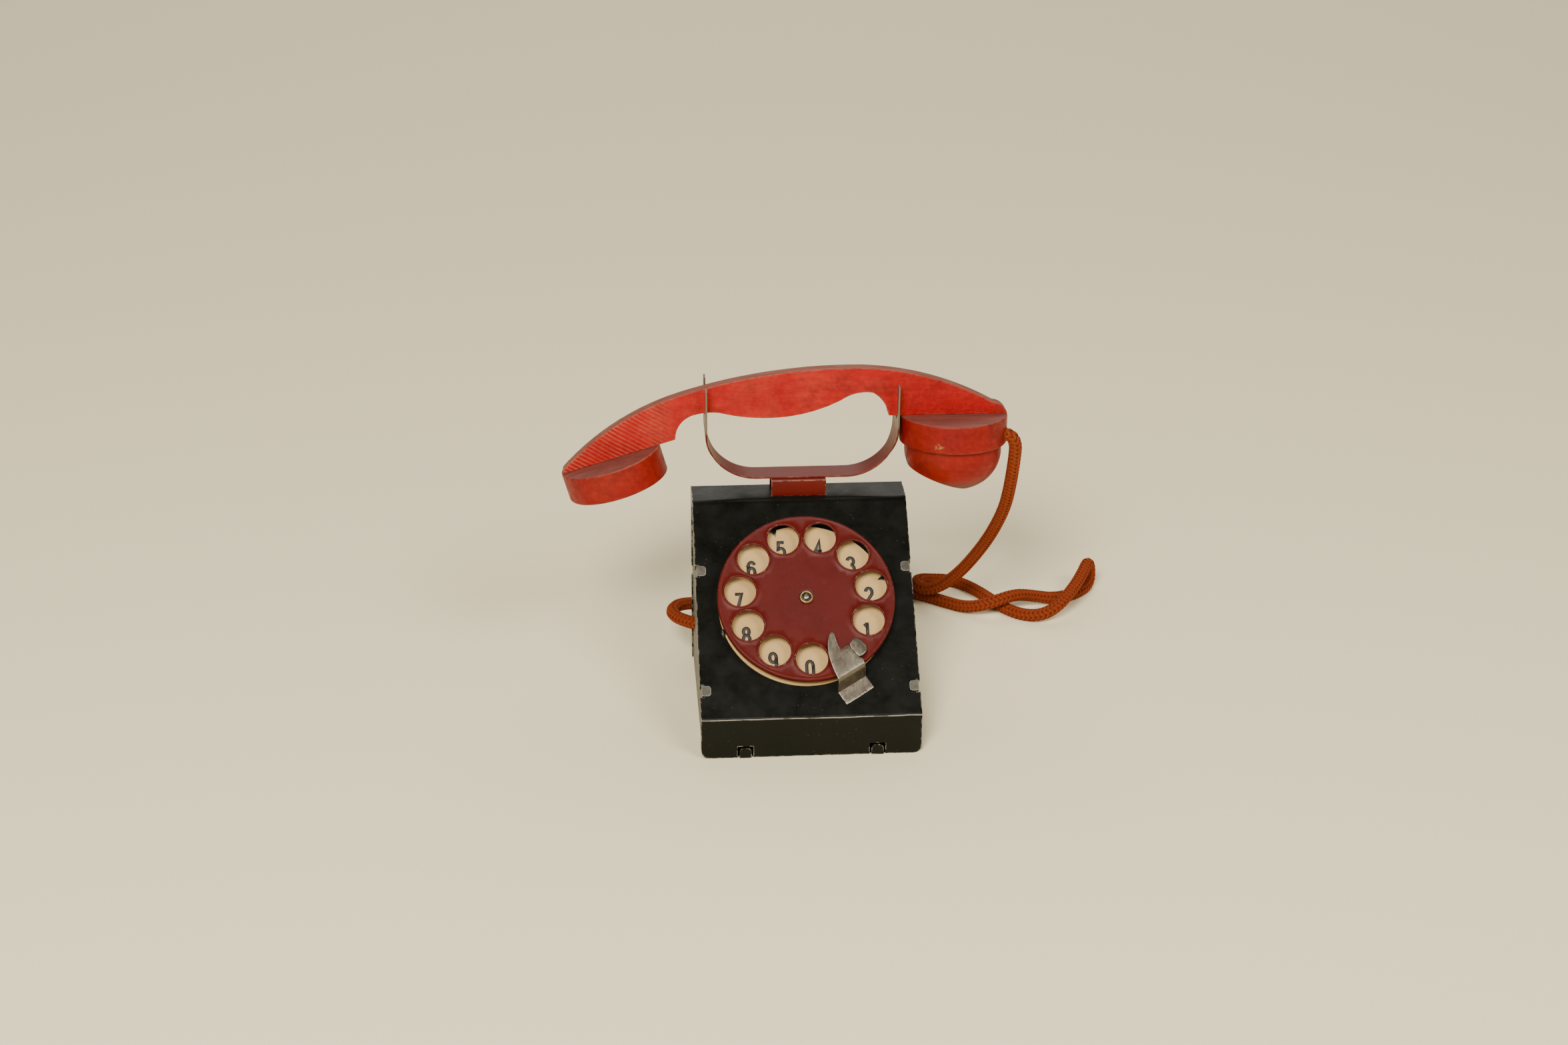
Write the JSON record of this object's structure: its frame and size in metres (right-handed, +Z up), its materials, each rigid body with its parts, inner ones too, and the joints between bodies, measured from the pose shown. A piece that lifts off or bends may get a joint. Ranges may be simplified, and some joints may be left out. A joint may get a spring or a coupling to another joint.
{
  "type": "toy dial telephone",
  "caption": "Tin toy telephone with a finger dial, forked cradle, wooden handset and a braided cord from handset to body.",
  "frame": {"origin": "middle of the tin body's base, on the surface that it stands on", "axes": "+X along the handset towards the mouthpiece, -Y towards the dial side, +Z up"},
  "size_m": [0.2178, 0.1362, 0.1217],
  "materials": {
    "black_enamel": "glossy black enamel on tin",
    "bright_tin": "bare bright tin plate",
    "card": "cream printed card",
    "dial_enamel": "dark red enamel",
    "cradle_enamel": "dark red enamel, worn at the tips",
    "brass": "dull brass",
    "bell_metal": "plated",
    "bare_steel": "bare steel with rust spots",
    "stained_wood": "red-stained wood",
    "cord_cotton": "rust-orange braided cotton"
  },
  "bodies": {
    "base": {"body_shell": "black_enamel", "side_panel_left": "bright_tin", "side_panel_right": "bright_tin", "bottom_plate": "bright_tin", "number_card": "card", "dial_spacer": "bare_steel", "finger_stop": "bare_steel", "bell_gong": "bell_metal", "bell_post": "bare_steel", "bell_screw": "bare_steel", "hammer_stand": "bright_tin", "hammer_pin": "bare_steel", "hammer_spring": "bare_steel", "cradle_bracket": "cradle_enamel", "cradle_yoke": "cradle_enamel", "cord_lying": "cord_cotton", "cord_knot": "cord_cotton"},
    "dial": {"dial_wheel": "dial_enamel", "dial_eyelet": "brass", "dial_spindle": "bare_steel", "spindle_washer": "bare_steel", "click_wheel": "bare_steel"},
    "hammer_lever": {"hammer": "bare_steel"},
    "handset": {"handset_board": "stained_wood", "earpiece_disc": "stained_wood", "mouthpiece_collar": "stained_wood", "mouthpiece_cup": "stained_wood", "earpiece_nails": "bare_steel", "mouthpiece_nails": "bare_steel", "cord_hanging": "cord_cotton"}
  },
  "joints": [
    {"name": "dial_spin", "type": "hinge", "parent": "base", "child": "dial", "pos_m": [0, -0.00634, 0.04518], "axis": [0, -0.6405, 0.7679], "continuous": true},
    {"name": "hammer_swing", "type": "hinge", "parent": "base", "child": "hammer_lever", "pos_m": [0, -0.0076, 0.024], "axis": [0, 1, 0], "range_deg": [-24, 16], "stiffness_Nm_per_rad": 0.002},
    {"name": "handset_lift", "type": "slide", "parent": "base", "child": "handset", "axis": [0, 0.1219, 0.9925], "range_m": [0, 0.024], "deforming": ["cord_hanging"]}
  ]
}
